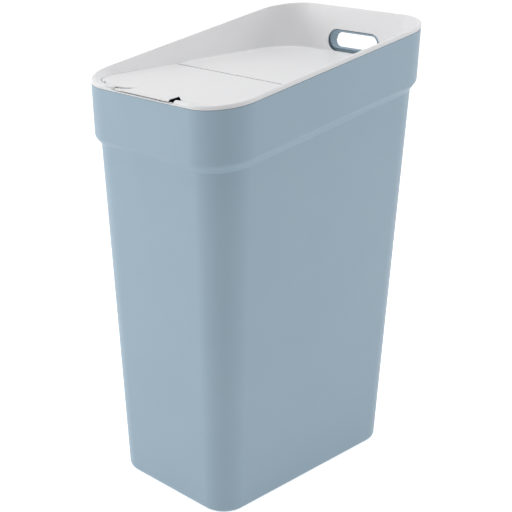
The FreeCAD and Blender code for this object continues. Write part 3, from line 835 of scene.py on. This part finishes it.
@dataclass(frozen=True)
class FlapForm:
    """The flap's plate and finger tab, which the frame's seat follows."""

    tray: TrayForm = TrayForm()
    thickness: float = 2.0
    side_gap: float = 0.4
    front_gap: float = 1.0
    behind_hinge: float = 1.8
    seat_gap: float = 0.3
    tab_half_width: float = 41.2
    tab_overhang: float = 1.6
    tab_slope: float = 0.1
    tab_thickness: float = 1.8
    tab_gap: float = 9.6
    tab_seat_gap: float = 1.0
    ledge_width: float = 5.0

    @property
    def front(self) -> float:
        """The plate's front edge."""
        return self.tray.deck_front + self.front_gap

    @property
    def tip(self) -> float:
        """The tab's front edge."""
        return self.tray.tub.front(self.tray.tub.rim) - self.tab_overhang

    def tab_top(self, y: float) -> float:
        """Height of the tab's top face at a depth."""
        return self.tray.deck_height + self.tab_slope * (self.front - y)

    def front_part(self, inset: float, front: float, back: float) -> Outline:
        """The front part of the deck's outline, narrowed by an inset and cut straight at its back."""
        radius, half_width = self.tray.front_radius - inset, self.tray.deck_half_width - inset
        return [(half_width, back), (-half_width, back),
                *arc(radius - half_width, front + radius, radius, 180),
                *arc(half_width - radius, front + radius, radius, 270)]


@dataclass(frozen=True)
class LidFrame:
    """The white frame: lip and skirt on the rim, tray walls, rear deck and the flap's seat."""

    finish: MouldedFinish
    hinge: HingeForm
    hole: HandHole = HandHole()
    flap: FlapForm = FlapForm()
    rim_wall: float = 2.4
    clearance: float = 0.4
    skirt_depth: float = 9.0
    skirt_wall: float = 1.4
    lip_round: float = 0.8
    lip_outer_round: float = 2.2
    lip_foot_round: float = 0.6
    deck_thickness: float = 2.0
    deck_round: float = 1.6
    ledge_thickness: float = 1.7
    ribs: RibRow = RibRow(depth=5.0, wall=1.6, pitch=42.0, margin=9.0)
    tab_bed_inset: float = 12.0
    deck_edge: float = 0.2
    deck_undercut: float = 1.0
    edge_round: float = 0.3
    overrun: float = 1.0

    @property
    def seat_depth(self) -> float:
        """How far the flap's seat lies below the deck."""
        return self.flap.thickness + self.flap.seat_gap

    @property
    def tray_bottom(self) -> float:
        """Height of the tray's underside."""
        return self.hole.tray.deck_height - self.seat_depth - self.ledge_thickness

    def _shell(self) -> Solid:
        """The lip, the skirt and the tray's outside, closed across the top.

        Returns:
            The solid.
        """
        tray = self.hole.tray
        tub = tray.tub
        outer = self.rim_wall + self.clearance
        inner = outer + self.skirt_wall
        foot = tray.deck_ring(self.tray_bottom, -tray.wall)
        lip_inside = tub.ring(tray.lip(tray.lip_width - tray.wall))
        share = 1 - (inner - tray.lip_width + tray.wall) / (tray.deck_inset - tray.lip_width)
        web = [low.lerp(high, share) for low, high in zip(foot, lip_inside)]
        steps = ((inner, self.skirt_depth), (outer, self.skirt_depth), (outer, 0.0), (0.0, 0.0))
        skirt = [tub.ring(tray.lip(inset, -tray.lip_height - drop)) for inset, drop in steps]
        return Solid.lofted([foot, web, *skirt, tub.ring(tray.lip(0.0))])

    def _tray_cutter(self) -> Solid:
        """The room inside the tray's walls, above the deck.

        Returns:
            The cutter.
        """
        tray = self.hole.tray
        foot = tray.deck_ring(tray.deck_height)
        lip = tray.tub.ring(tray.lip(tray.lip_width))
        above = [point + (point - start) * self.overrun / tray.lip_height
                 for start, point in zip(foot, lip)]
        return Solid.lofted([foot, lip, above])

    def _bosses(self) -> list[Solid]:
        """The two bosses that hold the flap's pins."""
        start = self.hole.tray.deck_half_width
        return self.hinge.rods(start, start + self.hinge.boss_length, self.hinge.boss_radius)

    def _pin_holes(self) -> list[Solid]:
        """The blind holes for the flap's pins."""
        start = self.hole.tray.deck_half_width
        return self.hinge.rods(start - self.overrun, start + self.hinge.pin_length + self.hinge.gap,
                               self.hinge.pin_radius + self.hinge.pin_clearance)

    def _tab_bed(self) -> Solid:
        """The thicker stretch of the frame's front under the finger tab.

        Returns:
            The block.
        """
        tray = self.hole.tray
        reach = self.flap.tab_half_width - self.tab_bed_inset
        skirt = self.rim_wall + self.clearance + self.skirt_wall / 2
        depth = self.flap.tab_thickness + self.flap.tab_seat_gap + self.ledge_thickness
        points = rectangle(-reach, reach, tray.tub.front(tray.tub.rim) + skirt,
                           tray.deck_front + self.flap.ledge_width)
        return Solid.prism(points, tray.deck_height - depth, tray.deck_height)

    def _tab_room(self) -> Solid:
        """The room that the tab needs in the frame's front, along the tab's slope.

        Returns:
            The cutter.
        """
        flap = self.flap
        half_width = flap.tab_half_width + flap.tab_gap
        start = flap.tip - self.overrun
        top, under = -self.overrun * 2, flap.tab_thickness + flap.tab_seat_gap
        ends = ((start, top), (flap.front, top), (flap.front, under), (start, under))
        return Solid.bar([(y, flap.tab_top(y) - depth) for y, depth in ends], -half_width, half_width)

    def _tab_slots(self) -> list[Solid]:
        """The slots beside the tab, open to the bin's inside.

        Returns:
            The cutters.
        """
        tray = self.hole.tray
        low = self.flap.tab_half_width - self.tab_bed_inset + self.edge_round
        high = self.flap.tab_half_width + self.flap.tab_gap
        front = tray.tub.front(tray.tub.rim) + self.rim_wall + self.clearance + self.skirt_wall
        back = tray.deck_front + self.flap.ledge_width + self.overrun
        return [Solid.prism([(side * x, y) for x, y in rectangle(low, high, front, back)],
                            self.tray_bottom - self.skirt_wall, tray.deck_height + self.overrun)
                for side in (1, -1)]

    def _openings(self) -> list[Solid]:
        """The flap's seat, the opening inside its ledge, and the slot for the hinge's barrel.

        Returns:
            The cutters.
        """
        tray = self.hole.tray
        hinge = self.hinge
        deck = tray.deck_height
        below = self.tray_bottom - self.overrun
        seat = self.flap.front_part(0.0, tray.deck_front, hinge.y)
        ledge = self.flap.ledge_width
        opening = self.flap.front_part(ledge, tray.deck_front + ledge, hinge.y)
        low, high = hinge.y - hinge.slot_reach, hinge.y + hinge.slot_reach
        edge = deck - self.deck_edge
        section = [(low, below), (high + self.deck_undercut, below),
                   (high + self.deck_undercut, edge - self.deck_undercut), (high, edge),
                   (high, deck + self.overrun / 2), (low, deck + self.overrun / 2)]
        slot = Solid.bar(section, -tray.deck_half_width, tray.deck_half_width)
        return [Solid.prism(seat, deck - self.seat_depth, deck + self.overrun / 2),
                Solid.prism(opening, below, deck), slot]

    def _underside(self) -> Solid:
        """The hollow under the rear deck.

        Returns:
            The cutter.
        """
        tray = self.hole.tray
        wall = self.ribs.wall
        half_width = tray.deck_half_width - wall
        points = rectangle(-half_width, half_width, self.hinge.y + self.hinge.slot_reach + wall,
                           tray.deck_back - wall - tray.back_radius)
        return Solid.prism(points, self.tray_bottom - self.overrun, tray.deck_height - self.deck_thickness)

    def build(self) -> None:
        """Models the frame."""
        tray = self.hole.tray
        flap = self.flap
        solid = self._shell()
        solid.add(self._tab_bed(), *self._bosses())
        solid.cut(self._tray_cutter(), *self._openings(), *self._pin_holes(), self._underside())
        solid.add(*self.ribs.build(
            self.hinge.y + self.hinge.slot_reach, tray.deck_back - self.ribs.wall - tray.back_radius,
            tray.deck_height - self.deck_thickness, self.deck_thickness / 2))
        lip = tray.lip(0.0)
        rim = tray.tub.rim
        middle = tray.lip(tray.lip_width / 2)

        def on_lip(point: Vector, height: float, outside: bool) -> bool:
            """Whether a point is on one half of the lip's width, level with a height on its slope."""
            level = abs(point.z - height - lip.slope * point.y) < TOUCH
            return level and (tray.tub.reach_out(point, middle) > 0) == outside

        def on_deck_foot(point: Vector) -> bool:
            """Whether a point is where the rear deck meets the tray's walls."""
            behind = point.y > self.hinge.y + self.hinge.slot_reach - TOUCH
            at_side = abs(point.x) > tray.deck_half_width - WALL_TOUCH
            at_back = point.y > tray.deck_back - tray.back_radius
            return behind and abs(point.z - tray.deck_height) < TOUCH and (at_side or at_back)

        solid.soften(self.lip_outer_round, lambda point: on_lip(point, lip.height, True), segments=8)
        solid.soften(self.lip_foot_round, lambda point: on_lip(point, rim.height, True))
        solid.soften(self.lip_round, lambda point: on_lip(point, lip.height, False), segments=4)
        solid.soften(self.deck_round, on_deck_foot, segments=8)
        solid.cut(self.hole.lid_slot(tray.deck_back - self.deck_round - self.overrun, self.overrun))
        solid.cut(self._tab_room(), *self._tab_slots())
        beside = flap.tab_half_width + flap.tab_gap + self.overrun
        behind = tray.deck_front + flap.ledge_width + self.overrun * 2
        # The edges of the tab's notch stay sharp.
        solid.soften(self.edge_round, lambda point: abs(point.x) > beside or point.y > behind)
        solid.finish("lid", "lid", "lid_frame", self.finish)


@dataclass(frozen=True)
class FrontFlap:
    """The hinged flap: plate, barrel and pins, finger tab, relief notches and ribs."""

    finish: MouldedFinish
    hinge: HingeForm
    form: FlapForm = FlapForm()
    ribs: RibRow = RibRow(depth=4.0, wall=1.5, pitch=44.0, margin=12.0)
    root_mouth: float = 8.0
    root_depth: float = 10.6
    root_lean: float = 11.7
    corner_from_middle: float = 83.3
    corner_mouth: float = 8.9
    corner_depth: float = 8.0
    corner_lean: float = 5.0
    undercut: float = 6.0
    root_undercut: float = 5.0
    tab_flare: float = 4.8
    tab_waist: float = 5.0
    flare_length: float = 7.0
    tab_bevel: float = 2.4
    rear_ramp: float = 1.0
    rear_drop: float = 1.2
    edge_round: float = 0.3
    overrun: float = 1.0

    def _tab(self) -> Solid:
        """The finger tab, a little wider at its tip and bevelled under its sides.

        Returns:
            The solid.
        """
        form = self.form
        waist = form.tab_half_width - self.tab_waist
        side = ((form.tip, form.tab_half_width + self.tab_flare),
                (form.tip + self.flare_length, form.tab_half_width - self.tab_waist / 2),
                (form.front, waist), (form.front + form.thickness, waist))
        rings = []
        for depth, bevel in ((form.tab_thickness, self.tab_bevel), (0.0, 0.0)):
            ring = [Vector((half - bevel, y, form.tab_top(y) - depth)) for y, half in side]
            rings.append(ring + [Vector((-point.x, point.y, point.z)) for point in reversed(ring)])
        return Solid.lofted(rings)

    def _notches(self) -> list[Solid]:
        """The relief notches in the front edge, beside the tab and at the corners.

        Returns:
            The cutters.
        """
        front = self.form.front
        past = front - self.overrun
        half_tab = self.form.tab_half_width
        waist = half_tab - self.tab_waist
        root = [(waist, past), (half_tab + self.root_mouth, past), (half_tab + self.root_mouth, front),
                (half_tab + self.root_mouth / 2 - self.root_lean, front + self.root_depth),
                (waist, front)]
        low = self.corner_from_middle - self.corner_mouth / 2
        high = self.corner_from_middle + self.corner_mouth / 2
        corner = [(low, past), (high, past), (high, front + self.form.side_gap),
                  (self.corner_from_middle + self.corner_lean, front + self.corner_depth),
                  (low, front - self.overrun / 2)]
        deck = self.form.tray.deck_height
        depth = self.form.thickness + self.overrun
        notches = []
        for points, inward in ((root, self.root_undercut), (corner, 0.0)):
            for side in (1, -1):
                rings = []
                for height, reach in ((deck - depth, 1.0), (deck, 0.0), (deck + self.overrun, 0.0)):
                    ring = [Vector((side * x, y, height)) for x, y in points[:3]]
                    for (x, y), back in ((points[3], self.undercut), (points[4], 0.0)):
                        ring.append(Vector((side * (x - reach * inward), y + reach * back, height)))
                    rings.append(ring)
                notches.append(Solid.lofted(rings))
        return notches

    def build(self) -> None:
        """Models the flap."""
        form = self.form
        hinge = self.hinge
        deck = form.tray.deck_height
        half_width = form.tray.deck_half_width - form.side_gap
        reach = half_width + form.side_gap + hinge.pin_length
        plate = form.front_part(form.side_gap, form.front, hinge.y + form.behind_hinge)
        solid = Solid.prism(plate, deck - form.thickness, deck)
        solid.add(hinge.rod(-half_width, half_width, hinge.barrel_radius),
                  hinge.rod(-reach, reach, hinge.pin_radius), self._tab())
        solid.add(*self.ribs.build(form.front + form.ledge_width, hinge.y, deck - form.thickness,
                                   form.thickness / 2))
        start, end = hinge.y - self.rear_ramp, hinge.y + hinge.slot_reach + self.overrun
        ramp = [(start, deck), (end, deck - self.rear_drop), (end, deck + self.overrun),
                (start, deck + self.overrun)]
        solid.cut(Solid.bar(ramp, -reach - self.overrun, reach + self.overrun), *self._notches())
        notched = form.front + self.root_depth + self.undercut + self.overrun

        def clear_of_notches(point: Vector) -> bool:
            """Whether a point is well away from the notches, whose edges stay sharp."""
            beside_tab = abs(point.x) > form.tab_half_width - self.tab_waist - self.root_lean
            return not (beside_tab and form.front - self.overrun < point.y < notched)

        solid.soften(self.edge_round, clear_of_notches)
        solid.finish("flap", "flap", "front_flap", self.finish)


@dataclass(frozen=True)
class PhotoCamera:
    """The photograph's viewpoint, found by fitting the bin's outlines."""

    azimuth: float = 44.7026
    elevation: float = 19.8378
    distance: float = 1.4695985
    middle: tuple[float, float, float] = (0.0, -0.0068, 0.25)
    shift_right: float = 0.0015264
    shift_up: float = 0.0183047
    focal_pixels: float = 1176.635
    image_width: float = 512.0
    sensor_width: float = 36.0
    clip_start: float = 0.01

    def place(self) -> None:
        """Makes the camera and makes it the scene's own."""
        turn = radians(self.azimuth)
        back = direction(self.azimuth, self.elevation)
        right = Vector((cos(turn), sin(turn), 0))
        up = back.cross(right)
        data = bpy.data.cameras.new("camera")
        data.sensor_width = self.sensor_width
        data.lens = self.focal_pixels / self.image_width * self.sensor_width
        data.clip_start = self.clip_start
        camera = placed("camera", data)
        target = Vector(self.middle) + right * self.shift_right + up * self.shift_up
        rotation = Matrix((right, up, back)).transposed().to_4x4()
        camera.matrix_world = Matrix.Translation(target + back * self.distance) @ rotation
        bpy.context.scene.camera = camera


@dataclass(frozen=True)
class Softbox:
    """One rectangular studio lamp that points at the bin."""

    name: str
    azimuth: float
    elevation: float
    distance: float
    width: float
    height: float
    power: float

    def place(self, target: Vector) -> None:
        """Makes the lamp.

        Args:
            target: The point that it faces.
        """
        back = direction(self.azimuth, self.elevation)
        data = bpy.data.lights.new(self.name, "AREA")
        data.shape = "RECTANGLE"
        data.size = self.width
        data.size_y = self.height
        data.energy = self.power
        rotation = back.to_track_quat("Z", "Y").to_matrix().to_4x4()
        placed(self.name, data).matrix_world = Matrix.Translation(target + back * self.distance) @ rotation


@dataclass(frozen=True)
class Studio:
    """A plain white studio: a floor that lights back, an even sky and three softboxes."""

    sky: float = 0.42
    floor_size: float = 24.0
    floor_shade: float = 0.8
    floor_glow: float = 0.5
    floor_uplight: float = 0.24
    lamp_target: tuple[float, float, float] = (0.0, 0.0, 0.3)
    lamps: tuple[Softbox, ...] = (
        Softbox("front_softbox", -48, 18, 2.4, 1.5, 1.5, 23.0),
        Softbox("side_softbox", 138, 20, 2.4, 1.5, 1.5, 13.0),
        Softbox("top_softbox", 0, 88, 2.4, 1.6, 1.6, 23.0),
    )

    def build(self) -> None:
        """Makes the floor, the world and the lamps."""
        bpy.context.scene.view_settings.view_transform = "Standard"
        self._world()
        self._floor()
        for lamp in self.lamps:
            lamp.place(Vector(self.lamp_target))

    def _world(self) -> None:
        """Lights the scene evenly and shows white behind the bin."""
        world = bpy.data.worlds.new("studio")
        bpy.context.scene.world = world
        graph = ShaderGraph(world)
        light, white = (graph.add("ShaderNodeBackground", {"Color": WHITE, "Strength": strength})
                        for strength in (self.sky, 1.0))
        graph.node("ShaderNodeOutputWorld", {"Surface": graph.mix_shader(graph.seen(), light, white)})

    def _floor(self) -> None:
        """Makes a floor that looks white, keeps the bin's soft shadow and is clear from below."""
        mesh = bpy.data.meshes.new("floor")
        shape = bmesh.new()
        bmesh.ops.create_grid(shape, x_segments=1, y_segments=1, size=self.floor_size / 2)
        shape.to_mesh(mesh)
        shape.free()
        material = bpy.data.materials.new("floor")
        graph = ShaderGraph(material)
        shade = self.floor_shade
        matt = graph.add("ShaderNodeBsdfDiffuse", {"Color": (shade, shade, shade, 1)})
        strength = graph.seen() * self.floor_glow + self.floor_uplight
        glow = graph.add("ShaderNodeEmission", {"Strength": strength})
        above = graph.add("ShaderNodeAddShader", {0: matt, 1: glow})
        clear = graph.add("ShaderNodeBsdfTransparent")
        from_below = graph.add("ShaderNodeNewGeometry", output="Backfacing")
        graph.node("ShaderNodeOutputMaterial", {"Surface": graph.mix_shader(from_below, above, clear)})
        mesh.materials.append(material)
        floor = placed("floor", mesh)


def main() -> None:
    """Builds the bin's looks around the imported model."""
    logging.basicConfig(level=logging.INFO, format="%(message)s")
    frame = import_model()
    blue = MouldedFinish("matt_blue", "blue_body", (154, 176, 191), (148, 171, 187), 0.48)
    white = MouldedFinish("matt_white", "white_lid", (228, 228, 229), (224, 224, 226), 0.45)
    turn = next(joint for joint in frame["joints"] if joint["name"] == "flap_hinge")
    hinge = HingeForm(turn["pos_m"][1] / MM, turn["pos_m"][2] / MM)
    BinBody(blue).build()
    LidFrame(white, hinge).build()
    FrontFlap(white, hinge).build()
    Studio().build()
    PhotoCamera().place()


if __name__ == "__main__":
    main()
